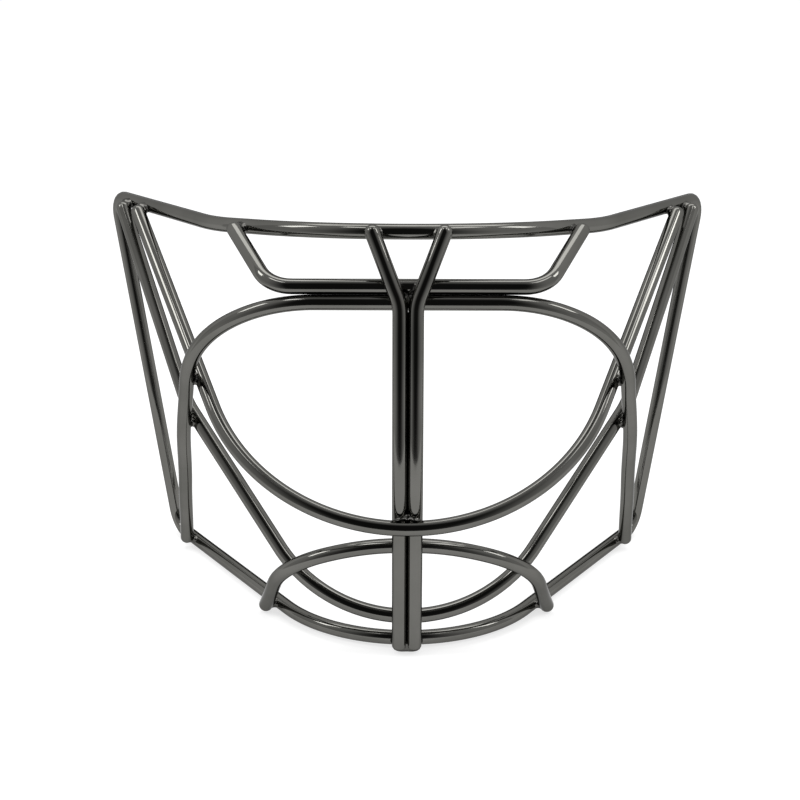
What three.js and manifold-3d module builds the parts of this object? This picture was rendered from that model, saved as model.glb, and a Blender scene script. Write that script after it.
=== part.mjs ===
// Welded wire cage of an ice-hockey goalie mask, cat-eye pattern.
// Millimetres, +Z up. The cage faces -Y and stands on its chin bar.
// Eight bent wires of one gauge cross in front of or behind each other and are joined by weld beads.
// Right and left are a viewer's, so right is +X.

import * as THREE from 'three';
import { mergeVertices } from 'three/addons/utils/BufferGeometryUtils.js';
import Module from 'manifold-3d';

const wasm = await Module();
wasm.setup();

// ---- driving dimensions -------------------------------------------------------------------

const wire = {
  diameter: 5,
  sides: 10, // facets round the wire
  clearance: 0.3, // left between pieces that are welded to each other
  longestTurn: 15, // degrees of bend between two sections
  chordDepth: 0.15, // how far a section-to-section run may cut into a bend
  longestRun: 20, // between two sections on a straight
  shortestRun: 1,
  domeShare: 0.99, // of the radius inside the facets, for the rounded end of a wire
};

// Side profile of the two centre uprights: one shallow arc, foremost at the mouth.
const spine = { bend: 332, foremostHeight: 59 };

// The perimeter hoop: forehead and chin in the middle, and three corners on the right side.
// The shoulder and the temple are placed by their drop below the forehead.
const forehead = { height: 148, bend: 75.2 };
const shoulder = { x: 66.9, y: 50.8, drop: 6.6, bend: 64.5 };
const temple = { x: 112.4, y: 117.1, drop: 10.7, bend: 7.2 };
const jaw = { x: 92.7, y: 106.6, z: 2.8, bend: 9 };
const chin = { height: 2.8, bend: 52 };

// Two U-shaped wires that wrap the face and end on the outside of the top bar's legs.
const upperWrap = { height: 52.1, bend: 72, endFromTemple: 29.4 };
const lowerWrap = { height: 12.1, bend: 53.5, turn: 56.6, run: 59.4, cheekBend: 32.1, endFromTemple: 16.2 };

const eyeArch = { height: 125.4, halfTop: 30.6, bend: 46.5, footFromJaw: 16.6, footHeight: 5.8 };
const browBar = { halfLength: 37.8, bend: 11.8, endSpacing: 110 };
const chinArch = { height: 40.5, crownBend: 63.8, crownTurn: 25.8, footBend: 33, footFromJaw: 82 };
const uprights = { footHeight: 2.7, topSpacing: 23.8, forkHeight: 125, forkBend: 14 };

const settleLength = 38; // how far each side of a crossing a wire bends off its flat shape to touch
const settlePasses = 8;
const nearestPasses = 40;

// Weld beads: half lengths along the narrow angle of a crossing, across it, and through it.
const bead = { along: 5.6, across: 4.4, through: 2.6, lift: 0 };
const pairBead = { halfWidth: 7.6, halfHeight: 4 };
const tipBead = { along: 4.3, across: 3.7, lift: -1.6 };
const footBead = { along: 4.8, across: 4, lift: 2.4 }; // higher than what the cage stands on
const chinBead = { bottom: 1.4 };

const wireRadius = wire.diameter / 2;
const domeRadius = wireRadius * Math.cos(Math.PI / wire.sides) * wire.domeShare;
const seat = wire.diameter + wire.clearance; // centre distance of two wires that touch
const acrossFace = new THREE.Vector3(1, 0, 0);
const upward = new THREE.Vector3(0, 0, 1);

// ---- centre lines -------------------------------------------------------------------------

const point = ({ x, y, drop, z = forehead.height - drop }) => new THREE.Vector3(x, y, z);
const direction = (from, to) => to.clone().sub(from).normalize();

// A place on the uprights' side profile, or off it by a distance towards the rear.
function onSpine(height, behind = 0) {
  const rise = height - spine.foremostHeight;
  const run = Math.sqrt(spine.bend ** 2 - rise ** 2);
  const rearward = new THREE.Vector3(0, run, -rise).divideScalar(spine.bend);
  return new THREE.Vector3(0, spine.bend - run, height).addScaledVector(rearward, behind);
}

// How many runs a bend is drawn in.
function bendRuns(radius, turn) {
  const chordTurn = 2 * Math.acos(1 - wire.chordDepth / radius);
  return Math.ceil(turn / Math.min(chordTurn, THREE.MathUtils.degToRad(wire.longestTurn)));
}

function straightTo(stations, target) {
  const from = stations.at(-1).clone();
  const pieces = Math.ceil(from.distanceTo(target) / wire.longestRun);
  for (let i = 1; i <= pieces; i++) stations.push(from.clone().lerp(target, i / pieces));
}

// Half of a flat wire in its own plane: x across the face, y from its middle towards its end.
// Each bend turns by its own angle, or until the straight that follows it reaches the end.
function halfOutline(lead, bends, end) {
  const outline = [new THREE.Vector2(0, 0)];
  let heading = 0;
  if (lead > 0) straightTo(outline, new THREE.Vector2(lead, 0));
  for (const { radius, turn, run } of bends) {
    const centre = new THREE.Vector2(-Math.sin(heading), Math.cos(heading));
    centre.multiplyScalar(radius).add(outline.at(-1));
    const toEnd = end.clone().sub(centre);
    const last = turn === undefined
      ? Math.atan2(toEnd.y, toEnd.x) + Math.asin(Math.min(radius / toEnd.length(), 1))
      : heading + THREE.MathUtils.degToRad(turn);
    const steps = bendRuns(radius, last - heading);
    for (let i = 1; i <= steps; i++) {
      const angle = heading + ((last - heading) * i) / steps;
      outline.push(new THREE.Vector2(Math.sin(angle), -Math.cos(angle)).multiplyScalar(radius).add(centre));
    }
    heading = last;
    if (run) {
      const along = new THREE.Vector2(Math.cos(heading), Math.sin(heading)).multiplyScalar(run);
      straightTo(outline, along.add(outline.at(-1)));
    }
  }
  straightTo(outline, end);
  return outline;
}

// The right half of a flat wire, tipped so that it runs from its middle to its end.
function flatHalf({ middle, end, lead = 0, bends }) {
  const tipped = end.clone().sub(middle).setX(0);
  const outline = halfOutline(lead, bends, new THREE.Vector2(end.x, tipped.length()));
  tipped.normalize();
  return outline.map((p) => middle.clone().addScaledVector(acrossFace, p.x).addScaledVector(tipped, p.y));
}

// Stations round a corner between two straights.
function roundedCorner(before, corner, after, radius) {
  const back = direction(corner, before);
  const ahead = direction(corner, after);
  const opening = back.angleTo(ahead);
  const centre = back.clone().add(ahead).setLength(radius / Math.sin(opening / 2)).add(corner);
  const first = corner.clone().addScaledVector(back, radius / Math.tan(opening / 2)).sub(centre);
  const axis = ahead.clone().cross(back).normalize();
  const turn = Math.PI - opening;
  const steps = bendRuns(radius, turn);
  return Array.from({ length: steps + 1 }, (_, i) =>
    first.clone().applyAxisAngle(axis, (turn * i) / steps).add(centre));
}

// ---- crossings, found and set on the right side ------------------------------------------------

const besideFace = (p) => p.x > uprights.topSpacing / 2 + wire.diameter;

// The nearest places of two wires within a zone, and the wires' directions there.
function crossing(front, back, zone = besideFace) {
  const runs = (stations) => stations.slice(1).map((to, i) => [stations[i], to]).filter(([, to]) => zone(to));
  const backRuns = runs(back);
  let nearest = { distance: Infinity };
  for (const [a0, a1] of runs(front)) {
    for (const [b0, b1] of backRuns) {
      const onFront = a0.clone().lerp(a1, 0.5);
      const onBack = new THREE.Vector3();
      for (let pass = 0; pass < nearestPasses; pass++) {
        new THREE.Line3(b0, b1).closestPointToPoint(onFront, true, onBack);
        new THREE.Line3(a0, a1).closestPointToPoint(onBack, true, onFront);
      }
      const distance = onFront.distanceTo(onBack);
      if (distance < nearest.distance) {
        nearest = { distance, onFront, onBack, frontway: direction(a0, a1), backway: direction(b0, b1) };
      }
    }
  }
  return nearest;
}

// Bends a wire off its flat shape around its crossings until it just lies on the wires behind it.
// Each crossing's outward vector says which side of the other wire it lies on.
function settle(front, crossings) {
  for (let pass = 0; pass < settlePasses; pass++) {
    for (const { back, outward, zone, reach = settleLength } of crossings) {
      const { onFront, onBack, distance } = crossing(front, back, zone);
      const push = direction(onBack, onFront);
      const side = Math.sign(push.dot(outward));
      for (const station of front) {
        const share = Math.min(station.distanceTo(onFront) / reach, 1);
        station.addScaledVector(push, (side * seat - distance) * Math.cos((share * Math.PI) / 2) ** 2);
      }
    }
  }
}

// ---- the wires, right half of each ---------------------------------------------------------------

const corner = { shoulder: point(shoulder), temple: point(temple), jaw: point(jaw) };

const topHalf = flatHalf({
  middle: onSpine(forehead.height, seat),
  end: corner.shoulder,
  bends: [{ radius: forehead.bend }],
});

const chinHalf = flatHalf({
  middle: onSpine(chin.height, seat),
  end: corner.jaw,
  bends: [{ radius: chin.bend }],
});

const legway = direction(corner.shoulder, corner.temple);
const legOutward = legway.clone().cross(upward).normalize();
const flankway = direction(corner.jaw, chinHalf.at(-2));
const outboard = upward.clone().cross(flankway).normalize();
const forward = new THREE.Vector3(0, -1, 0);

// Places on the right leg of the top bar and on the right flank of the chin bar, and off them.
function onLeg(fromTemple, off) {
  return corner.temple.clone().addScaledVector(legway, -fromTemple).addScaledVector(legOutward, off);
}

function onFlank(fromJaw, off) {
  return corner.jaw.clone().addScaledVector(flankway, fromJaw).addScaledVector(outboard, off);
}

function onTopBar(x, off) {
  const after = topHalf.findIndex((p) => p.x > x);
  const [from, to] = [topHalf[after - 1], topHalf[after]];
  const frontward = direction(from, to).cross(upward).normalize();
  return from.clone().lerp(to, (x - from.x) / (to.x - from.x)).addScaledVector(frontward, off);
}

function perimeterHalf() {
  const shoulderBend = roundedCorner(topHalf.at(-2), corner.shoulder, corner.temple, shoulder.bend);
  const templeBend = roundedCorner(corner.shoulder, corner.temple, corner.jaw, temple.bend);
  const jawBend = roundedCorner(corner.temple, corner.jaw, chinHalf.at(-2), jaw.bend);
  const clearOf = (place, bendEnd) => (p) => p.distanceTo(place) > bendEnd.distanceTo(place) + wire.shortestRun;
  const half = topHalf.filter(clearOf(corner.shoulder, shoulderBend[0])).map((p) => p.clone());
  for (const bend of [shoulderBend, templeBend, jawBend]) {
    straightTo(half, bend[0]);
    half.push(...bend.slice(1));
  }
  const chinPart = chinHalf.filter(clearOf(corner.jaw, jawBend.at(-1))).reverse();
  straightTo(half, chinPart[0]);
  return [...half, ...chinPart.slice(1)];
}

function upperWrapHalf(perimeter) {
  const half = flatHalf({
    middle: onSpine(upperWrap.height, -seat),
    end: onLeg(upperWrap.endFromTemple, seat),
    bends: [{ radius: upperWrap.bend }],
  });
  settle(half, [{ back: perimeter, outward: legOutward }]);
  return half;
}

function lowerWrapHalf(perimeter) {
  const half = flatHalf({
    middle: onSpine(lowerWrap.height, seat),
    end: onLeg(lowerWrap.endFromTemple, seat),
    bends: [
      { radius: lowerWrap.bend, turn: lowerWrap.turn, run: lowerWrap.run },
      { radius: lowerWrap.cheekBend },
    ],
  });
  settle(half, [{ back: perimeter, outward: legOutward }]);
  return half;
}

function eyeArchHalf(perimeter, upper, lower) {
  const half = flatHalf({
    middle: onSpine(eyeArch.height, seat),
    end: onFlank(eyeArch.footFromJaw, seat).setZ(eyeArch.footHeight),
    lead: eyeArch.halfTop,
    bends: [{ radius: eyeArch.bend }],
  });
  settle(half, [
    { back: upper, outward: forward },
    { back: lower, outward: forward },
    { back: perimeter, outward: outboard },
  ]);
  return half;
}

function browBarHalf(perimeter) {
  const half = flatHalf({
    middle: onSpine(eyeArch.height + seat, seat),
    end: onTopBar(browBar.endSpacing / 2, seat),
    lead: browBar.halfLength,
    bends: [{ radius: browBar.bend }],
  });
  settle(half, [{ back: perimeter, outward: forward }]);
  return half;
}

function chinArchHalf(perimeter, lower) {
  const half = flatHalf({
    middle: onSpine(chinArch.height, seat),
    end: onFlank(chinArch.footFromJaw, seat),
    bends: [{ radius: chinArch.crownBend, turn: chinArch.crownTurn }, { radius: chinArch.footBend }],
  });
  settle(half, [{ back: lower, outward: forward }, { back: perimeter, outward: outboard }]);
  return half;
}

const aboveFork = (p) => p.x < uprights.topSpacing && p.z > uprights.forkHeight;

// The right upright: straight down the face, and bent outwards above the eyes.
function upright(perimeter) {
  const x = seat / 2;
  const foot = new THREE.Vector3(x, 0, uprights.footHeight);
  const fork = new THREE.Vector3(x, 0, uprights.forkHeight);
  const tip = new THREE.Vector3(uprights.topSpacing / 2, 0, forehead.height);
  const front = [foot];
  for (const p of roundedCorner(foot, fork, tip, uprights.forkBend)) straightTo(front, p);
  straightTo(front, tip);
  for (const p of front) p.setY(onSpine(p.z).y);
  const reach = forehead.height - eyeArch.height - seat;
  settle(front, [{ back: perimeter, outward: forward, zone: aboveFork, reach }]);
  return front;
}

const perimeter = perimeterHalf();
const lower = lowerWrapHalf(perimeter);
const upper = upperWrapHalf(perimeter);
const arch = eyeArchHalf(perimeter, upper, lower);
const brow = browBarHalf(perimeter);
const chinFront = chinArchHalf(perimeter, lower);
const rightUpright = upright(perimeter);

// ---- solids -------------------------------------------------------------------------------------

// A wire's centre line, given by the places where its section is drawn.
class CentreLine extends THREE.Curve {
  constructor(stations, closed) {
    super();
    this.stations = stations;
    this.closed = closed;
    this.runs = closed ? stations.length : stations.length - 1;
  }

  station(index) {
    const count = this.stations.length;
    return this.stations[this.closed ? (index + count) % count : THREE.MathUtils.clamp(index, 0, count - 1)];
  }

  getPoint(t, target = new THREE.Vector3()) {
    return target.copy(this.station(Math.round(t * this.runs)));
  }

  getPointAt(u, target) {
    return this.getPoint(u, target);
  }

  getTangentAt(u, target = new THREE.Vector3()) {
    const index = Math.round(u * this.runs);
    return target.subVectors(this.station(index + 1), this.station(index - 1)).normalize();
  }
}

const mirrored = (stations) => stations.map((p) => new THREE.Vector3(-p.x, p.y, p.z));
const wholeWire = (half) => new CentreLine([...mirrored(half.slice(1).reverse()), ...half], false);
const wholeHoop = (half) => new CentreLine([...half, ...mirrored(half.slice(1, -1).reverse())], true);

function solidFrom(geometry) {
  geometry.deleteAttribute('normal');
  geometry.deleteAttribute('uv');
  const merged = mergeVertices(geometry);
  return new wasm.Manifold(new wasm.Mesh({
    numProp: 3,
    vertProperties: merged.attributes.position.array,
    triVerts: new Uint32Array(merged.index.array),
  }));
}

function geometryFrom(solid) {
  const mesh = solid.getMesh();
  const geometry = new THREE.BufferGeometry();
  geometry.setAttribute('position', new THREE.BufferAttribute(mesh.vertProperties, mesh.numProp));
  geometry.setIndex(new THREE.BufferAttribute(mesh.triVerts, 1));
  return geometry;
}

// The same wire with its ends moved out, so that what is cut to fit it also clears its ends.
function lengthened(line, distance) {
  if (line.closed) return line;
  const stations = line.stations.map((p) => p.clone());
  stations[0].addScaledVector(direction(stations[1], stations[0]), distance);
  stations.at(-1).addScaledVector(direction(stations.at(-2), stations.at(-1)), distance);
  return new CentreLine(stations, false);
}

function wireSolid(line, radius, domed) {
  if (line.closed) return solidFrom(new THREE.TubeGeometry(line, line.runs, radius, wire.sides, true));
  const corners = Array.from({ length: wire.sides }, (_, i) =>
    new THREE.Vector2(radius, 0).rotateAround(new THREE.Vector2(), (2 * Math.PI * i) / wire.sides));
  const options = { steps: line.runs, extrudePath: line, bevelEnabled: false };
  const tube = solidFrom(new THREE.ExtrudeGeometry(new THREE.Shape(corners), options));
  if (!domed) return tube;
  return [line.stations[0], line.stations.at(-1)].reduce((solid, end) => {
    const dome = new THREE.SphereGeometry((radius * domeRadius) / wireRadius, wire.sides, wire.sides / 2);
    return solid.add(solidFrom(dome.translate(end.x, end.y, end.z)));
  }, tube);
}

const wires = {
  perimeter_frame: { line: wholeHoop(perimeter) },
  upper_wrap_bar: { line: wholeWire(upper) },
  lower_wrap_bar: { line: wholeWire(lower) },
  eye_arch: { line: wholeWire(arch), domed: true },
  brow_bar: { line: wholeWire(brow) },
  chin_arch: { line: wholeWire(chinFront), domed: true },
  upright_right: { line: new CentreLine(rightUpright, false) },
  upright_left: { line: new CentreLine(mirrored(rightUpright), false) },
};

// An ellipsoid of weld around a crossing, less the wires that run through it and their clearance.
function weldSolid(place, axes, halfSizes, names) {
  const blob = new THREE.IcosahedronGeometry(1, 1).scale(...halfSizes);
  blob.applyMatrix4(new THREE.Matrix4().makeBasis(...axes).setPosition(place));
  return names.reduce((solid, name) => {
    const { line, domed } = wires[name];
    const cutRadius = (wireRadius + wire.clearance) / Math.cos(Math.PI / wire.sides);
    return solid.subtract(wireSolid(domed ? line : lengthened(line, wire.clearance), cutRadius, domed));
  }, solidFrom(blob));
}

// The bead where one wire crosses another on the right side, drawn out into their narrow angle.
function crossingWeld(front, back, names, size = {}, zone) {
  const { onFront, onBack, frontway, backway } = crossing(front, back, zone);
  const through = direction(onBack, onFront);
  if (frontway.dot(backway) < 0) backway.negate();
  const along = frontway.add(backway).projectOnPlane(through).normalize();
  const beside = through.clone().cross(along);
  const { along: length, across, through: depth, lift } = { ...bead, ...size };
  const place = onFront.clone().lerp(onBack, 0.5).addScaledVector(upward, lift);
  return weldSolid(place, [along, beside, through], [length, across, depth], names);
}

// The bead that joins both uprights to a wire that crosses them.
function uprightsWeld(height, behind, halfHeight, names) {
  const through = direction(onSpine(height), onSpine(height, 1));
  const up = through.clone().cross(acrossFace);
  const sizes = [pairBead.halfWidth, halfHeight, bead.through];
  return weldSolid(onSpine(height, behind), [acrossFace, up, through], sizes,
    ['upright_left', 'upright_right', ...names]);
}

const sideWelds = {
  weld_upper_wrap_top: crossingWeld(upper, perimeter, ['upper_wrap_bar', 'perimeter_frame']),
  weld_lower_wrap_top: crossingWeld(lower, perimeter, ['lower_wrap_bar', 'perimeter_frame']),
  weld_eye_arch_upper_wrap: crossingWeld(arch, upper, ['eye_arch', 'upper_wrap_bar']),
  weld_eye_arch_lower_wrap: crossingWeld(arch, lower, ['eye_arch', 'lower_wrap_bar']),
  weld_eye_arch_jaw: crossingWeld(arch, perimeter, ['eye_arch', 'perimeter_frame'], footBead),
  weld_brow_top: crossingWeld(brow, perimeter, ['brow_bar', 'perimeter_frame'], tipBead),
  weld_chin_arch_lower_wrap: crossingWeld(chinFront, lower, ['chin_arch', 'lower_wrap_bar']),
  weld_chin_arch_foot: crossingWeld(chinFront, perimeter, ['chin_arch', 'perimeter_frame'], footBead),
  weld_upright_top: crossingWeld(rightUpright, perimeter, ['upright_right', 'perimeter_frame'], tipBead,
    aboveFork),
};

// The lowest bead ends short of the one above it.
const chinBeadTop = lowerWrap.height - pairBead.halfHeight - wire.clearance;

const middleWelds = {
  weld_uprights_brow: uprightsWeld(eyeArch.height + seat / 2, seat / 2, pairBead.halfHeight + seat / 2,
    ['brow_bar', 'eye_arch']),
  weld_uprights_upper_wrap: uprightsWeld(upperWrap.height, -seat / 2, pairBead.halfHeight, ['upper_wrap_bar']),
  weld_uprights_chin_arch: uprightsWeld(chinArch.height, seat / 2, pairBead.halfHeight, ['chin_arch']),
  weld_uprights_lower_wrap: uprightsWeld(lowerWrap.height, seat / 2, pairBead.halfHeight, ['lower_wrap_bar']),
  weld_uprights_chin: uprightsWeld((chinBead.bottom + chinBeadTop) / 2, seat / 2,
    (chinBeadTop - chinBead.bottom) / 2, ['perimeter_frame']),
};

// ---- the assembly ---------------------------------------------------------------------------------

const plated = { color: 0x46463f, metalness: 1, roughness: 0.16 };
const weldMetal = { color: 0x2e2e2b, metalness: 1, roughness: 0.3 };

function part(name, solid, finish) {
  const mesh = new THREE.Mesh(geometryFrom(solid), new THREE.MeshStandardMaterial(finish));
  mesh.name = name;
  return mesh;
}

const cage = new THREE.Group();
cage.name = 'goalie_mask_cage';

for (const [name, { line, domed }] of Object.entries(wires)) {
  cage.add(part(name, wireSolid(line, wireRadius, domed), plated));
}

for (const [name, solid] of Object.entries(middleWelds)) cage.add(part(name, solid, weldMetal));

for (const [name, solid] of Object.entries(sideWelds)) {
  const left = part(`${name}_left`, solid, weldMetal);
  left.scale.x = -1;
  cage.add(part(`${name}_right`, solid, weldMetal), left);
}

// The origin is under the middle of the cage, on the surface that it stands on.
const box = new THREE.Box3().setFromObject(cage);
cage.position.set(0, -(box.min.y + box.max.y) / 2, -box.min.z);

export default cage;
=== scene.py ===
# Welded wire cage of an ice-hockey goalie mask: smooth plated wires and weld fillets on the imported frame.
# Lengths are in millimetres until a mesh is made, and right is +X.
import math

import bmesh
import bpy
import numpy as np
from mathutils import Matrix, Vector, noise


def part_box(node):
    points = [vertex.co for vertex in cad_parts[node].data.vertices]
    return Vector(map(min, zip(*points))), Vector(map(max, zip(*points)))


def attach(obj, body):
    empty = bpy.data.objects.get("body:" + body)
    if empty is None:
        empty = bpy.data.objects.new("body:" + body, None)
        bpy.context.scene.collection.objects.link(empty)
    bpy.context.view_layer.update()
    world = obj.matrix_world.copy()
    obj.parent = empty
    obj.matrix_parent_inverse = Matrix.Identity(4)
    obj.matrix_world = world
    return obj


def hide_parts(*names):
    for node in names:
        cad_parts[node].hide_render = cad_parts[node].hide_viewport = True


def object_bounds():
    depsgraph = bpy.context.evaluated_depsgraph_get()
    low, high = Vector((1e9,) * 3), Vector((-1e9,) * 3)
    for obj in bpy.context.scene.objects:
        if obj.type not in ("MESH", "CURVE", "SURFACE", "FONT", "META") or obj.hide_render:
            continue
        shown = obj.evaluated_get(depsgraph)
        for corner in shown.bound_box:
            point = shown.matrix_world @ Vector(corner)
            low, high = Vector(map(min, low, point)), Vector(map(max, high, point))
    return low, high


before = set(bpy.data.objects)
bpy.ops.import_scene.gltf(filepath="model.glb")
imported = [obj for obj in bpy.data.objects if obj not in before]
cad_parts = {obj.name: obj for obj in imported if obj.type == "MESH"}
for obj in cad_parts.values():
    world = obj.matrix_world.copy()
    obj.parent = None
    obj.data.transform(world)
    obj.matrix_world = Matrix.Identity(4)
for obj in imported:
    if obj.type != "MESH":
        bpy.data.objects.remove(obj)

cadLow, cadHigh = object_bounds()
mm = 0.001
up = Vector((0, 0, 1))
forward = Vector((0, -1, 0))

wire = {
    "diameter": 5,
    "clearance": 0.3,  # between two wires that are welded to each other
    "plating": 0.08,  # what the finish adds to the radius
    "bite": 0.03,  # how deep two wires that lie side by side are pressed together
    "sides": 32,
    "step": 1.6,  # between two sections along a wire
}
seat = wire["diameter"] + wire["clearance"]
wireRadius = wire["diameter"] / 2 + wire["plating"]
touching = 2 * wireRadius - wire["bite"]  # between the middles of two wires that lie side by side


# Side profile of the two uprights: one shallow arc.
spine = {"bend": 332, "foremostHeight": 59}


def onSpine(height, behind=0):
    rise = height - spine["foremostHeight"]
    run = math.sqrt(spine["bend"] ** 2 - rise ** 2)
    rearward = Vector((0, run, -rise)) / spine["bend"]
    return Vector((0, spine["bend"] - run, height)) + rearward * behind


# Centre lines of bent wire.
def straightTo(line, target):
    start = line[-1].copy()
    steps = max(math.ceil((target - start).length / wire["step"]), 1)
    line.extend(start.lerp(target, i / steps) for i in range(1, steps + 1))


def bendSteps(radius, turn):
    return max(math.ceil(radius * turn / wire["step"]), 2)


def flatHalf(middle, end, bends, lead=0):
    # The right half of a flat wire. A bend without a turn of its own turns until it faces the end.
    tipped = (end - middle) * Vector((0, 1, 1))
    target = Vector((end.x, tipped.length))
    outline, heading = [Vector((0, 0))], 0
    if lead:
        straightTo(outline, Vector((lead, 0)))
    for bend in bends:
        radius = bend["radius"]
        centre = Vector((-math.sin(heading), math.cos(heading))) * radius + outline[-1]
        toEnd = target - centre
        last = math.atan2(toEnd.y, toEnd.x) + math.asin(min(radius / toEnd.length, 1))
        if "turn" in bend:
            last = heading + math.radians(bend["turn"])
        steps = bendSteps(radius, last - heading)
        for i in range(1, steps + 1):
            angle = heading + (last - heading) * i / steps
            outline.append(Vector((math.sin(angle), -math.cos(angle))) * radius + centre)
        heading = last
        if "run" in bend:
            straightTo(outline, outline[-1] + Vector((math.cos(heading), math.sin(heading))) * bend["run"])
    straightTo(outline, target)
    tipped.normalize()
    return [middle + Vector((p.x, 0, 0)) + tipped * p.y for p in outline]


def roundedCorner(before, corner, after, radius):
    back = (before - corner).normalized()
    ahead = (after - corner).normalized()
    opening = back.angle(ahead)
    centre = corner + (back + ahead).normalized() * radius / math.sin(opening / 2)
    first = corner + back * radius / math.tan(opening / 2) - centre
    axis = ahead.cross(back).normalized()
    turn = math.pi - opening
    steps = bendSteps(radius, turn)
    return [centre + Matrix.Rotation(turn * i / steps, 3, axis) @ first for i in range(steps + 1)]


# Where two wires cross, found on the right side.
searching = {"shares": 33}  # the points tried on each stretch of wire beside the nearest stations


def besideFace(p):
    return p.x > uprights["topSpacing"] / 2 + wire["diameter"]


def crossing(front, back, zone=besideFace):
    frontLine, backLine = (np.array([p for p in line if zone(p)]) for line in (front, back))
    gaps = np.linalg.norm(frontLine[:, None] - backLine[None], axis=2)
    share = np.linspace(0, 1, searching["shares"])[:, None]

    def around(line, i):
        low, high = max(i - 1, 0), min(i + 1, len(line) - 1)
        before = line[low] * (1 - share) + line[i] * share
        after = line[i] * (1 - share) + line[high] * share
        return np.concatenate([before, after])

    i, j = np.unravel_index(gaps.argmin(), gaps.shape)
    nearFront, nearBack = around(frontLine, i), around(backLine, j)
    gaps = np.linalg.norm(nearFront[:, None] - nearBack[None], axis=2)
    a, b = np.unravel_index(gaps.argmin(), gaps.shape)
    ways = [Vector(near[-1] - near[0]).normalized() for near in (nearFront, nearBack)]
    return Vector(nearFront[a]), Vector(nearBack[b]), ways[0], ways[1]


settling = {"reach": 38, "passes": 6}


def settle(front, *crossings, zone=besideFace, reach=settling["reach"]):
    # Bends a wire off its flat shape around its crossings until it just lies on the wires behind it.
    for _ in range(settling["passes"]):
        for back, outward in crossings:
            onFront, onBack, _, _ = crossing(front, back, zone)
            push = (onFront - onBack).normalized()
            amount = math.copysign(seat, push.dot(outward)) - (onFront - onBack).length
            for p in front:
                share = min((p - onFront).length / reach, 1)
                p += push * amount * math.cos(share * math.pi / 2) ** 2


perimeter = {
    "foreheadHeight": 148, "foreheadBend": 75.2,
    "shoulder": Vector((66.9, 50.8, 141.4)), "shoulderBend": 64.5,
    "temple": Vector((112.4, 117.1, 137.3)), "templeBend": 7.2,
    "jaw": Vector((92.7, 106.6, 2.8)), "jawBend": 9,
    "chinHeight": 2.8, "chinBend": 52,
}
upperWrap = {"height": 52.1, "bend": 72, "endFromTemple": 29.4}
lowerWrap = {
    "height": 12.1, "bend": 53.5, "turn": 56.6, "run": 59.4,
    "cheekBend": 32.1, "endFromTemple": 16.2,
}
eyeArch = {"height": 125.4, "halfTop": 30.6, "bend": 46.5, "footFromJaw": 16.6, "footHeight": 5.8}
browBar = {"halfLength": 37.8, "bend": 11.8, "endSpacing": 110}
chinArch = {"height": 40.5, "crownBend": 63.8, "crownTurn": 25.8, "footBend": 33, "footFromJaw": 82}
uprights = {"footHeight": 2.7, "topSpacing": 23.8, "forkHeight": 125, "forkBend": 14}

topHalf = flatHalf(onSpine(perimeter["foreheadHeight"], seat), perimeter["shoulder"],
                   [{"radius": perimeter["foreheadBend"]}])
chinHalf = flatHalf(onSpine(perimeter["chinHeight"], seat), perimeter["jaw"],
                    [{"radius": perimeter["chinBend"]}])
legway = (perimeter["temple"] - perimeter["shoulder"]).normalized()
flankway = (chinHalf[-2] - perimeter["jaw"]).normalized()
legOutward = legway.cross(up).normalized()
outboard = up.cross(flankway).normalized()


def onLeg(fromTemple):
    return perimeter["temple"] - legway * fromTemple + legOutward * seat


def onFlank(fromJaw):
    return perimeter["jaw"] + flankway * fromJaw + outboard * seat


def onTopBar(x):
    after = next(i for i, p in enumerate(topHalf) if p.x > x)
    start, end = topHalf[after - 1], topHalf[after]
    frontward = (end - start).cross(up).normalized()
    return start.lerp(end, (x - start.x) / (end.x - start.x)) + frontward * seat


def perimeterHalf():
    shoulder, temple, jaw = (perimeter[name] for name in ("shoulder", "temple", "jaw"))
    shoulderBend = roundedCorner(topHalf[-2], shoulder, temple, perimeter["shoulderBend"])
    templeBend = roundedCorner(shoulder, temple, jaw, perimeter["templeBend"])
    jawBend = roundedCorner(temple, jaw, chinHalf[-2], perimeter["jawBend"])

    def outside(line, corner, bendEnd):
        return [p.copy() for p in line if (p - corner).length > (bendEnd - corner).length + wire["step"] / 2]

    half = outside(topHalf, shoulder, shoulderBend[0])
    for bend in (shoulderBend, templeBend, jawBend):
        straightTo(half, bend[0])
        half.extend(bend[1:])
    chinPart = outside(chinHalf, jaw, jawBend[-1])[::-1]
    straightTo(half, chinPart[0])
    return half + chinPart[1:]


def upperWrapHalf():
    half = flatHalf(onSpine(upperWrap["height"], -seat), onLeg(upperWrap["endFromTemple"]),
                    [{"radius": upperWrap["bend"]}])
    settle(half, (rim, legOutward))
    return half


def lowerWrapHalf():
    bends = [{"radius": lowerWrap["bend"], "turn": lowerWrap["turn"], "run": lowerWrap["run"]},
             {"radius": lowerWrap["cheekBend"]}]
    half = flatHalf(onSpine(lowerWrap["height"], seat), onLeg(lowerWrap["endFromTemple"]), bends)
    settle(half, (rim, legOutward))
    return half


def eyeArchHalf():
    foot = onFlank(eyeArch["footFromJaw"])
    foot.z = eyeArch["footHeight"]
    half = flatHalf(onSpine(eyeArch["height"], seat), foot, [{"radius": eyeArch["bend"]}], eyeArch["halfTop"])
    settle(half, (upperLine, forward), (lowerLine, forward), (rim, outboard))
    return half


def browBarHalf():
    half = flatHalf(onSpine(eyeArch["height"] + touching, seat), onTopBar(browBar["endSpacing"] / 2),
                    [{"radius": browBar["bend"]}], browBar["halfLength"])
    settle(half, (rim, forward))
    return half


def chinArchHalf():
    bends = [{"radius": chinArch["crownBend"], "turn": chinArch["crownTurn"]},
             {"radius": chinArch["footBend"]}]
    half = flatHalf(onSpine(chinArch["height"], seat), onFlank(chinArch["footFromJaw"]), bends)
    settle(half, (lowerLine, forward), (rim, outboard))
    return half


def aboveFork(p):
    return p.x < uprights["topSpacing"] and p.z > uprights["forkHeight"]


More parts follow.
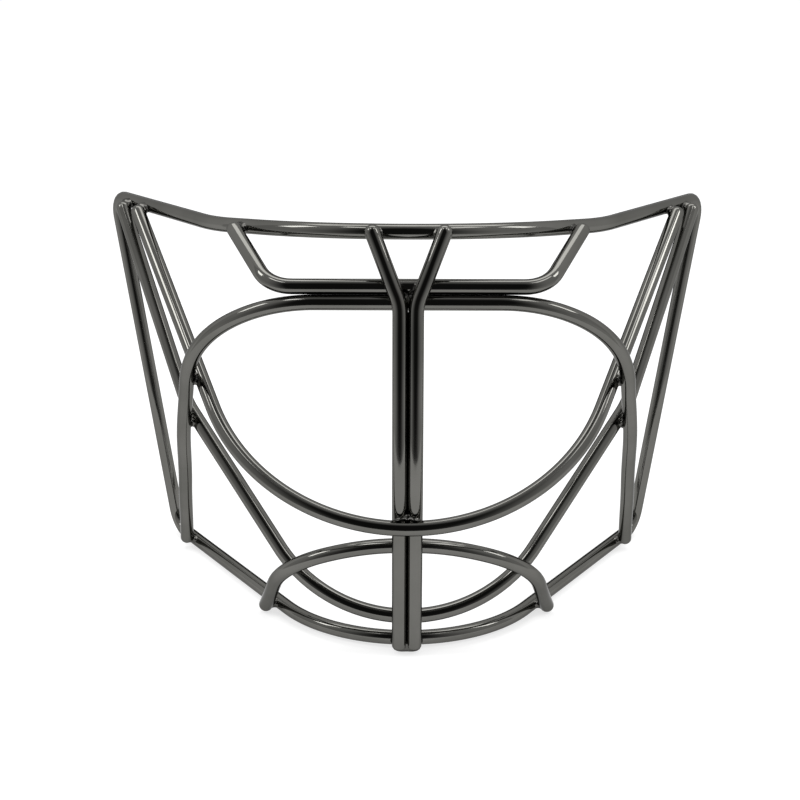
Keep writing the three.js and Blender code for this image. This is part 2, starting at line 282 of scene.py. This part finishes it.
def uprightLine():
    foot = Vector((touching / 2, 0, uprights["footHeight"]))
    fork = Vector((touching / 2, 0, uprights["forkHeight"]))
    tip = Vector((uprights["topSpacing"] / 2, 0, perimeter["foreheadHeight"]))
    line = [foot]
    for p in roundedCorner(foot, fork, tip, uprights["forkBend"]):
        straightTo(line, p)
    straightTo(line, tip)
    for p in line:
        p.y = onSpine(p.z).y
    reach = perimeter["foreheadHeight"] - eyeArch["height"] - seat
    settle(line, (rim, forward), zone=aboveFork, reach=reach)
    return line


def mirrored(line):
    return [p * Vector((-1, 1, 1)) for p in line]


def wholeWire(half):
    return mirrored(half[:0:-1]) + half


rim = perimeterHalf()
lowerLine = lowerWrapHalf()
upperLine = upperWrapHalf()
archLine = eyeArchHalf()
browLine = browBarHalf()
chinLine = chinArchHalf()
rightUpright = uprightLine()
print("centre lines:", len(rim), "stations on half of the rim")

# The frame's origin is under the middle of the cage.
rimLow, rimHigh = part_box("perimeter_frame")
rimMiddle = [(min(p[axis] for p in rim) + max(p[axis] for p in rim)) / 2 for axis in (1, 2)]
toFrame = Vector((0,
                  (rimLow.y + rimHigh.y) / 2 / mm - rimMiddle[0],
                  (rimLow.z + rimHigh.z) / 2 / mm - rimMiddle[1]))
cageMiddle = Vector((0, 40, 75))


def inFrame(p):
    return (p + toFrame) * mm


# Materials.
def link(tree, source, output, target, field):
    tree.links.new(source.outputs[output], target.inputs[field])


def makeNode(tree, kind, **settings):
    made = tree.nodes.new(kind)
    for name, value in settings.items():
        setattr(made, name, value)
    return made


wear = {
    "toneDetail": 3, "toneSpread": (0.35, 0.65),
    "lineStretch": (18, 2600, 1),  # along the wire and round it
    "lineDetail": 2, "dullSpread": (0.12, 0.4),
    "rippleDetail": 2,
}


def platingGroup():
    # Uneven tone, faint lines drawn along the wire and a fine ripple in the plating.
    tree = bpy.data.node_groups.new("platingWear", "ShaderNodeTree")
    for name in ("Light Tone", "Dark Tone"):
        tree.interface.new_socket(name, in_out="INPUT", socket_type="NodeSocketColor")
    for name in ("Smooth", "Dull", "Tone Scale", "Ripple Scale", "Lines"):
        tree.interface.new_socket(name, in_out="INPUT", socket_type="NodeSocketFloat")
    tree.interface.new_socket("Color", in_out="OUTPUT", socket_type="NodeSocketColor")
    for name in ("Roughness", "Height"):
        tree.interface.new_socket(name, in_out="OUTPUT", socket_type="NodeSocketFloat")
    inputs, outputs = makeNode(tree, "NodeGroupInput"), makeNode(tree, "NodeGroupOutput")
    place = makeNode(tree, "ShaderNodeTexCoord")
    tone = makeNode(tree, "ShaderNodeTexNoise")
    tone.inputs["Detail"].default_value = wear["toneDetail"]
    link(tree, place, "Object", tone, "Vector")
    link(tree, inputs, "Tone Scale", tone, "Scale")
    spread = makeNode(tree, "ShaderNodeMapRange")
    spread.inputs["From Min"].default_value = wear["toneSpread"][0]
    spread.inputs["From Max"].default_value = wear["toneSpread"][1]
    link(tree, tone, "Fac", spread, "Value")
    colour = makeNode(tree, "ShaderNodeMix", data_type="RGBA")
    link(tree, spread, "Result", colour, "Factor")
    tree.links.new(inputs.outputs["Dark Tone"], colour.inputs[6])
    tree.links.new(inputs.outputs["Light Tone"], colour.inputs[7])
    tree.links.new(colour.outputs[2], outputs.inputs["Color"])

    # Drawing lines: noise stretched along the wire's own length.
    stretch = makeNode(tree, "ShaderNodeMapping")
    stretch.inputs["Scale"].default_value = wear["lineStretch"]
    link(tree, place, "UV", stretch, "Vector")
    lines = makeNode(tree, "ShaderNodeTexNoise")
    lines.inputs["Scale"].default_value = 1
    lines.inputs["Detail"].default_value = wear["lineDetail"]
    link(tree, stretch, "Vector", lines, "Vector")
    dulling = makeNode(tree, "ShaderNodeMath", operation="MULTIPLY")
    link(tree, lines, "Fac", dulling, 0)
    link(tree, tone, "Fac", dulling, 1)
    dullness = makeNode(tree, "ShaderNodeMapRange")
    dullness.inputs["From Min"].default_value = wear["dullSpread"][0]
    dullness.inputs["From Max"].default_value = wear["dullSpread"][1]
    link(tree, dulling, "Value", dullness, "Value")
    link(tree, inputs, "Smooth", dullness, "To Min")
    link(tree, inputs, "Dull", dullness, "To Max")
    link(tree, dullness, "Result", outputs, "Roughness")

    ripple = makeNode(tree, "ShaderNodeTexNoise")
    ripple.inputs["Detail"].default_value = wear["rippleDetail"]
    link(tree, place, "Object", ripple, "Vector")
    link(tree, inputs, "Ripple Scale", ripple, "Scale")
    lineHeight = makeNode(tree, "ShaderNodeMath", operation="MULTIPLY")
    link(tree, lines, "Fac", lineHeight, 0)
    link(tree, inputs, "Lines", lineHeight, 1)
    height = makeNode(tree, "ShaderNodeMath", operation="ADD")
    link(tree, ripple, "Fac", height, 0)
    link(tree, lineHeight, "Value", height, 1)
    link(tree, height, "Value", outputs, "Height")
    return tree


plating = {
    "light": (0.14, 0.138, 0.129, 1), "dark": (0.118, 0.117, 0.108, 1),
    "smooth": 0.05, "dull": 0.1, "toneScale": 45, "rippleScale": 260, "lines": 0.25,
    "bump": 0.03, "bumpDepth": 0.00003,
}
weldFinish = {
    "light": (0.115, 0.113, 0.106, 1), "dark": (0.055, 0.054, 0.05, 1),
    "smooth": 0.1, "dull": 0.22, "toneScale": 320, "rippleScale": 500, "lines": 0,
    "bump": 0.15, "bumpDepth": 0.0001,
}
edgeTint = (0.5, 0.5, 0.5, 1)  # keeps the metal as dark at its edges as it is face on


def metal(name, finish, group):
    made = bpy.data.materials.new(name)
    made.use_nodes = True
    tree = made.node_tree
    shader = tree.nodes["Principled BSDF"]
    shader.inputs["Metallic"].default_value = 1
    shader.inputs["Specular Tint"].default_value = edgeTint
    worn = makeNode(tree, "ShaderNodeGroup", node_tree=group)
    for field, value in (("Light Tone", "light"), ("Dark Tone", "dark"),
                         ("Smooth", "smooth"), ("Dull", "dull"), ("Lines", "lines"),
                         ("Tone Scale", "toneScale"), ("Ripple Scale", "rippleScale")):
        worn.inputs[field].default_value = finish[value]
    bump = makeNode(tree, "ShaderNodeBump")
    bump.inputs["Strength"].default_value = finish["bump"]
    bump.inputs["Distance"].default_value = finish["bumpDepth"]
    link(tree, worn, "Color", shader, "Base Color")
    link(tree, worn, "Roughness", shader, "Roughness")
    link(tree, worn, "Height", bump, "Height")
    link(tree, bump, "Normal", shader, "Normal")
    return made


wearGroup = platingGroup()
platedSteel = metal("platedSteel", plating, wearGroup)
platedWeld = metal("platedWeld", weldFinish, wearGroup)


# Pieces.
def finishPiece(name, bm, material, node):
    mesh = bpy.data.meshes.new(name)
    bmesh.ops.recalc_face_normals(bm, faces=bm.faces)
    if bm.calc_volume(signed=True) < 0:  # a hollowed bead can come out inside out
        bmesh.ops.reverse_faces(bm, faces=bm.faces)
    for face in bm.faces:
        face.smooth = True
    bm.to_mesh(mesh)
    bm.free()
    mesh.materials.append(material)
    piece = bpy.data.objects.new(name, mesh)
    bpy.context.scene.collection.objects.link(piece)
    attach(piece, "root")
    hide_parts(node)


def section(place, along, scale=1):
    # A cross section's place: its first side looks away from the middle of the cage.
    outward = place - cageMiddle
    outward = (outward - along * outward.dot(along)).normalized()
    turned = Matrix((outward, along.cross(outward), along)).transposed().to_4x4()
    return Matrix.Translation(inFrame(place)) @ turned @ Matrix.Scale(scale, 4)


tip = {"steps": 9, "narrowest": 0.05}


def tipSections(place, outwards, depth, direction):
    # Sections that shrink to a rounded end. The outermost comes first.
    made = []
    for i in range(tip["steps"], 0, -1):
        angle = i / tip["steps"] * math.pi / 2
        scale = max(math.cos(angle), tip["narrowest"])
        made.append(section(place + outwards * depth * math.sin(angle), direction, scale))
    return made


def cutBack(line, trim):
    # The line less a length at its last end.
    kept = [p.copy() for p in line]
    while (kept[-1] - kept[-2]).length <= trim:
        trim -= (kept[-1] - kept[-2]).length
        kept.pop()
    kept[-1] = kept[-1].lerp(kept[-2], trim / (kept[-1] - kept[-2]).length)
    return kept


def wireSections(line, closed, depths):
    last = len(line) - 1
    made = []
    for i, p in enumerate(line):
        before = line[i - 1] if closed or i else p
        after = line[(i + 1) % len(line)] if closed or i < last else p
        made.append(section(p, (after - before).normalized()))
    if closed:
        return made
    startway = (line[1] - line[0]).normalized()
    endway = (line[-1] - line[-2]).normalized()
    return (tipSections(line[0], -startway, depths[0], startway) + made
            + tipSections(line[-1], endway, depths[1], endway)[::-1])


def drawWire(name, line, closed=False, depths=(0, 0)):
    bm = bmesh.new()
    uv = bm.loops.layers.uv.new("UVMap")
    along = bm.verts.layers.float.new("along")
    around = bm.verts.layers.float.new("around")
    radius = wireRadius * mm
    ring = bmesh.ops.create_circle(bm, segments=wire["sides"], radius=radius)["verts"]
    for v in ring:
        v[around] = math.atan2(v.co.y, v.co.x)
    sections = wireSections(line, closed, depths)
    bmesh.ops.transform(bm, matrix=sections[0], verts=ring)
    edges = bm.edges[:]
    distance = 0
    for before, after in zip(sections, sections[1:]):
        extruded = bmesh.ops.extrude_edge_only(bm, edges=edges)["geom"]
        verts = [part for part in extruded if isinstance(part, bmesh.types.BMVert)]
        edges = [part for part in extruded if isinstance(part, bmesh.types.BMEdge) and part.is_boundary]
        distance += (after.translation - before.translation).length
        for v in verts:
            v[along] = distance
        bmesh.ops.transform(bm, matrix=after @ before.inverted(), verts=verts)
    rims = [e for e in bm.edges if e.is_boundary]
    if closed:
        bmesh.ops.bridge_loops(bm, edges=rims)
    else:
        bmesh.ops.holes_fill(bm, edges=rims, sides=wire["sides"])
    for face in bm.faces:
        angles = [loop.vert[around] for loop in face.loops]
        seam = max(angles) - min(angles) > math.pi
        for loop in face.loops:
            angle = loop.vert[around]
            if seam and angle < 0:
                angle += 2 * math.pi
            loop[uv].uv = (loop.vert[along], angle * radius)
    finishPiece(name + "_wire", bm, platedSteel, name)


wires = {
    "perimeter_frame": rim + mirrored(rim[1:-1])[::-1],
    "upper_wrap_bar": wholeWire(upperLine),
    "lower_wrap_bar": wholeWire(lowerLine),
    "eye_arch": wholeWire(archLine),
    "brow_bar": wholeWire(browLine),
    "chin_arch": wholeWire(chinLine),
    "upright_right": rightUpright,
    "upright_left": mirrored(rightUpright),
}
roundEnd = 0.95 * wireRadius
# At each wire's first and last end: how far it is cut back, and how deep its end is rounded.
tips = {
    "upper_wrap_bar": ((2.2, roundEnd), (2.2, roundEnd)),
    "lower_wrap_bar": ((2.2, roundEnd), (2.2, roundEnd)),
    "eye_arch": ((0, roundEnd), (0, roundEnd)),
    "brow_bar": ((0.4, roundEnd), (0.4, roundEnd)),
    "chin_arch": ((0, roundEnd), (0, roundEnd)),
    "upright_right": ((0.9, 0.6), (0.4, roundEnd)),
    "upright_left": ((0.9, 0.6), (0.4, roundEnd)),
}
for name, line in wires.items():
    if name in tips:
        (firstTrim, firstDepth), (lastTrim, lastDepth) = tips[name]
        line = cutBack(cutBack(line, lastTrim)[::-1], firstTrim)[::-1]
        drawWire(name, line, depths=(firstDepth, lastDepth))
    else:
        drawWire(name, line, closed=True)
print("wires:", len(wires))


# Welds: the fillet between two wires, ended by an ellipsoid round their crossing.
welding = {
    "detail": 4,  # subdivisions of a bead
    "first": 1e-3, "steps": 60,  # along each ray from a bead's middle
    "reach": 14, "spacing": 2,  # of the stations kept from each wire
}
bead = {
    "along": 4.6, "across": 3.7, "through": 2.8,  # half sizes of the ellipsoid
    "inward": 0,  # how far it lies from the crossing, along the front wire and away from its end
    "fill": 2.8,  # how far apart the fillet starts on the two wires
    "sink": 0.12,  # keeps the rest of the bead just inside the wires
    "rounding": 1.2,  # at the edge of the ellipsoid
    "lump": 0.14, "lumpScale": 2.1,
}


def smoothMin(a, b, width):
    share = np.maximum(width - abs(a - b), 0) / width
    return np.minimum(a, b) - share ** 2 * width / 4


def distanceTo(points, line):
    start, way = line[:-1], line[1:] - line[:-1]
    offset = points[:, None] - start
    share = np.clip((offset * way).sum(2) / (way ** 2).sum(1), 0, 1)
    return np.linalg.norm(offset - way * share[:, :, None], axis=2).min(1)


def nearStretch(line, place):
    points = np.array(line)
    near = np.nonzero(np.linalg.norm(points - np.array(place), axis=1) < welding["reach"])[0]
    return points[near[0]:near[-1] + 1:welding["spacing"]]


def drawWeld(name, place, axes, joined, sizes):
    bm = bmesh.new()
    bmesh.ops.create_icosphere(bm, subdivisions=welding["detail"], radius=1)
    rays = np.array([v.co for v in bm.verts]) @ np.array([list(axis) for axis in axes])
    halves = np.array([sizes["along"], sizes["across"], sizes["through"]])
    lines = [nearStretch(wires[wireName], place) for wireName in joined]
    lumps = np.array([noise.noise(Vector(ray) * sizes["lumpScale"] + place) for ray in rays]) * sizes["lump"]

    def outsideBy(points):
        fillet = None
        for line in lines:
            surface = distanceTo(points, line) - wireRadius + sizes["sink"]
            fillet = surface if fillet is None else smoothMin(fillet, surface, sizes["fill"])
        local = (points - np.array(place)) @ np.array([list(axis) for axis in axes]).T / halves
        ellipsoid = (np.linalg.norm(local, axis=1) - 1) * halves.min()
        return -smoothMin(-fillet - lumps, -ellipsoid, sizes["rounding"])

    # Each vertex moves out along its own ray to the first place where the bead ends.
    longest = halves.max()
    reached = np.full(len(rays), longest)
    last = outsideBy(np.array(place) + rays * welding["first"])
    found = last > 0
    for i in range(1, welding["steps"] + 1):
        far = longest * i / welding["steps"]
        now = outsideBy(np.array(place) + rays * far)
        new = ~found & (now > 0)
        reached[new] = far - longest / welding["steps"] * (now / (now - last))[new]
        found |= new
        last = now
    for v, ray, distance in zip(bm.verts, rays, reached):
        v.co = inFrame(place + Vector(ray) * distance)
    finishPiece(name + "_bead", bm, platedWeld, name)


def crossingWeld(name, front, back, zone=besideFace, **sizes):
    onFront, onBack, frontway, backway = crossing(wires[front], wires[back], zone)
    through = (onBack - onFront).normalized()
    endway = frontway.copy()
    if frontway.dot(backway) < 0:
        backway = -backway
    along = frontway + backway
    along = (along - through * along.dot(through)).normalized()
    sizes = {**bead, **sizes}
    place = onFront.lerp(onBack, 0.5) - endway * sizes["inward"]
    for side, flip in (("right", Vector((1, 1, 1))), ("left", Vector((-1, 1, 1)))):
        axes = [axis * flip for axis in (along, through.cross(along), through)]
        joined = [n.replace("_right", "_" + side) for n in (front, back)]
        drawWeld(f"{name}_{side}", place * flip, axes, joined, sizes)


middleBead = {**bead, "along": 6.8, "across": 4}  # behind both uprights


def uprightsWeld(name, height, behind, joined, **sizes):
    through = (onSpine(height, 1) - onSpine(height)).normalized()
    right = Vector((1, 0, 0))
    axes = [right, through.cross(right), through]
    joined = ["upright_left", "upright_right", *joined]
    drawWeld(name, onSpine(height, behind), axes, joined, {**middleBead, **sizes})


crossingWeld("weld_upper_wrap_top", "upper_wrap_bar", "perimeter_frame", along=4, across=3.2, inward=1.8)
crossingWeld("weld_lower_wrap_top", "lower_wrap_bar", "perimeter_frame", along=4, across=3.2, inward=1.8)
crossingWeld("weld_eye_arch_upper_wrap", "eye_arch", "upper_wrap_bar", across=3.3, inward=1.4, fill=2.3)
crossingWeld("weld_eye_arch_lower_wrap", "eye_arch", "lower_wrap_bar", across=3.3, inward=1.2, fill=2.3)
crossingWeld("weld_eye_arch_jaw", "eye_arch", "perimeter_frame", inward=1.2)
crossingWeld("weld_brow_top", "brow_bar", "perimeter_frame", across=3.6, inward=0.8)
crossingWeld("weld_chin_arch_lower_wrap", "chin_arch", "lower_wrap_bar", along=4)
crossingWeld("weld_chin_arch_foot", "chin_arch", "perimeter_frame", inward=1.2)
crossingWeld("weld_upright_top", "upright_right", "perimeter_frame", aboveFork, across=3.8, inward=0.6)
uprightsWeld("weld_uprights_brow", eyeArch["height"] + seat / 2, seat / 2 + 0.9,
             ["brow_bar", "eye_arch"], across=7)
uprightsWeld("weld_uprights_upper_wrap", upperWrap["height"], -seat / 2 + 0.6, ["upper_wrap_bar"])
uprightsWeld("weld_uprights_chin_arch", chinArch["height"], seat / 2, ["chin_arch"])
uprightsWeld("weld_uprights_lower_wrap", lowerWrap["height"], seat / 2, ["lower_wrap_bar"])
uprightsWeld("weld_uprights_chin", perimeter["chinHeight"] + 0.6, seat / 2 - 0.9, ["perimeter_frame"],
             along=7.6, across=3.4, through=3.4, fill=4)
print("welds drawn")


# The studio: a pale floor, soft boxes overhead, and dark cloths before and behind.
camera = {
    "target": Vector((-2.56, 51.73, 76.92)), "distance": 546,
    "elevation": 19.319, "roll": 0.17, "lens": 68.38, "nearest": 0.01,
}


def placeCamera():
    tilt, roll = math.radians(camera["elevation"]), math.radians(camera["roll"])
    look = Vector((0, math.cos(tilt), -math.sin(tilt)))
    right = Matrix.Rotation(-roll, 3, look) @ Vector((1, 0, 0))
    turned = Matrix((right, right.cross(look), -look)).transposed().to_4x4()
    lens = bpy.data.cameras.new("camera")
    lens.lens = camera["lens"]
    lens.clip_start = camera["nearest"]
    made = bpy.data.objects.new("camera", lens)
    made.matrix_world = Matrix.Translation(inFrame(camera["target"] - look * camera["distance"])) @ turned
    bpy.context.scene.collection.objects.link(made)
    bpy.context.scene.camera = made


def seenDirectly(tree):
    # 1 for rays from the camera and for what polished metal reflects.
    path = makeNode(tree, "ShaderNodeLightPath")
    total = None
    for output in ("Is Camera Ray", "Is Glossy Ray", "Is Transmission Ray"):
        if total is None:
            total = path.outputs[output]
            continue
        most = makeNode(tree, "ShaderNodeMath", operation="MAXIMUM")
        tree.links.new(total, most.inputs[0])
        tree.links.new(path.outputs[output], most.inputs[1])
        total = most.outputs[0]
    return total


room = {"ambient": 0.8, "white": 1.0}


def lightRoom():
    world = bpy.data.worlds.new("room")
    bpy.context.scene.world = world
    world.use_nodes = True
    tree = world.node_tree
    background = tree.nodes["Background"]
    background.inputs["Color"].default_value = (1, 1, 1, 1)
    strength = makeNode(tree, "ShaderNodeMapRange")
    tree.links.new(seenDirectly(tree), strength.inputs["Value"])
    strength.inputs["To Min"].default_value = room["ambient"]
    strength.inputs["To Max"].default_value = room["white"]
    link(tree, strength, "Result", background, "Strength")


floor = {"size": 8, "colour": (0.42, 0.42, 0.42, 1), "glow": 0.68}


def layFloor():
    bm = bmesh.new()
    bmesh.ops.create_grid(bm, x_segments=1, y_segments=1, size=floor["size"] / 2)
    bmesh.ops.translate(bm, vec=(0, 0, cadLow.z), verts=bm.verts)
    mesh = bpy.data.meshes.new("floor")
    bm.to_mesh(mesh)
    bm.free()
    made = bpy.data.materials.new("paleFloor")
    made.use_nodes = True
    tree = made.node_tree
    shader = tree.nodes["Principled BSDF"]
    shader.inputs["Base Color"].default_value = floor["colour"]
    shader.inputs["Roughness"].default_value = 1
    shader.inputs["Specular IOR Level"].default_value = 0
    shader.inputs["Emission Color"].default_value = (1, 1, 1, 1)
    glow = makeNode(tree, "ShaderNodeMath", operation="MULTIPLY")
    tree.links.new(seenDirectly(tree), glow.inputs[0])
    glow.inputs[1].default_value = floor["glow"]
    link(tree, glow, "Value", shader, "Emission Strength")
    mesh.materials.append(made)
    piece = bpy.data.objects.new("floor", mesh)
    bpy.context.scene.collection.objects.link(piece)


softBoxes = {
    "overhead": {"place": (0, 0.25, 0.95), "aim": (0, 0.05, 0.08), "size": (0.9, 0.3), "power": 2.3},
    "leftStrip": {"place": (-0.84, -0.2, 0.86), "aim": (0, 0.05, 0.08), "size": (0.2, 0.42), "power": 2.4},
    "rightStrip": {"place": (0.84, -0.2, 0.86), "aim": (0, 0.05, 0.08), "size": (0.2, 0.42), "power": 2.2},
    "leftLamp": {"place": (-0.3, -0.3, 0.95), "aim": (0, 0, 0.08), "size": (0.24, 0.12), "power": 0.8},
    "rightLamp": {"place": (0.33, -0.25, 0.95), "aim": (0, 0, 0.08), "size": (0.3, 0.2), "power": 0.8},
}
# Cloths round the object that only reflections show: the dark sides of the room that the wires mirror.
# A profile's points are a distance out and a height. A cloth is thick in its middle and thin at its edges.
cloths = {
    "frontCloth": {"profile": ((0.3, 0), (0.4, 0.3), (0.38, 0.6), (0.26, 0.82), (0.06, 0.92)), "turn": 170,
                   "facing": -4, "middle": (-0.02, 0.32), "reach": (0.34, 0.74), "core": 0.66, "thin": 0.3},
    "rearCloth": {"profile": ((0.5, 0), (0.52, 0.2)), "turn": 70,
                  "facing": 180, "middle": (0, 0.08), "reach": (0.36, 0.2), "core": 0.5, "thin": 0.1},
}
clothTone = 0.03
clothSteps = 48
flatScale = 1e3  # lets the fade run up and across a cloth but not through it


def hangSoftBox(name, box):
    lamp = bpy.data.lights.new(name, "AREA")
    lamp.shape = "RECTANGLE"
    lamp.size, lamp.size_y = box["size"]
    lamp.energy = box["power"]
    made = bpy.data.objects.new(name, lamp)
    place = Vector(box["place"])
    made.location = place
    made.rotation_euler = (Vector(box["aim"]) - place).to_track_quat("-Z", "Y").to_euler()
    bpy.context.scene.collection.objects.link(made)


def clothMaterial(name, cloth):
    made = bpy.data.materials.new(name)
    made.use_nodes = True
    tree = made.node_tree
    tree.nodes.remove(tree.nodes["Principled BSDF"])
    place = makeNode(tree, "ShaderNodeTexCoord")
    middle = makeNode(tree, "ShaderNodeMapping", vector_type="TEXTURE")
    middle.inputs["Location"].default_value = (cloth["middle"][0], 0, cloth["middle"][1])
    middle.inputs["Scale"].default_value = (cloth["reach"][0], flatScale, cloth["reach"][1])
    fade = makeNode(tree, "ShaderNodeTexGradient", gradient_type="SPHERICAL")
    thickness = makeNode(tree, "ShaderNodeMapRange", interpolation_type="SMOOTHSTEP")
    thickness.inputs["From Max"].default_value = cloth["core"]
    thickness.inputs["To Min"].default_value = cloth["thin"]
    through = makeNode(tree, "ShaderNodeBsdfTransparent")
    cover = makeNode(tree, "ShaderNodeEmission")
    cover.inputs["Strength"].default_value = clothTone
    weave = makeNode(tree, "ShaderNodeMixShader")
    link(tree, place, "Object", middle, "Vector")
    link(tree, middle, "Vector", fade, "Vector")
    link(tree, fade, "Fac", thickness, "Value")
    link(tree, thickness, "Result", weave, "Fac")
    tree.links.new(through.outputs[0], weave.inputs[1])
    tree.links.new(cover.outputs[0], weave.inputs[2])
    link(tree, weave, "Shader", tree.nodes["Material Output"], "Surface")
    return made


def hangCloth(name, cloth):
    bm = bmesh.new()
    turn = math.radians(cloth["turn"])
    start = Matrix.Rotation(math.radians(cloth["facing"]) - turn / 2, 3, "Z")
    profile = [bm.verts.new(start @ Vector((0, -out, cadLow.z + height))) for out, height in cloth["profile"]]
    edges = [bm.edges.new(pair) for pair in zip(profile, profile[1:])]
    bmesh.ops.spin(bm, geom=profile + edges, axis=up, cent=(0, 0, 0), angle=turn, steps=clothSteps)
    mesh = bpy.data.meshes.new(name)
    bm.to_mesh(mesh)
    bm.free()
    mesh.materials.append(clothMaterial(name, cloth))
    piece = bpy.data.objects.new(name, mesh)
    bpy.context.scene.collection.objects.link(piece)
    piece.visible_camera = False
    piece.visible_diffuse = False
    piece.visible_shadow = False


placeCamera()
lightRoom()
layFloor()
for name, box in softBoxes.items():
    hangSoftBox(name, box)
for name, cloth in cloths.items():
    hangCloth(name, cloth)
bpy.context.scene.view_settings.view_transform = "Standard"
print("studio ready")
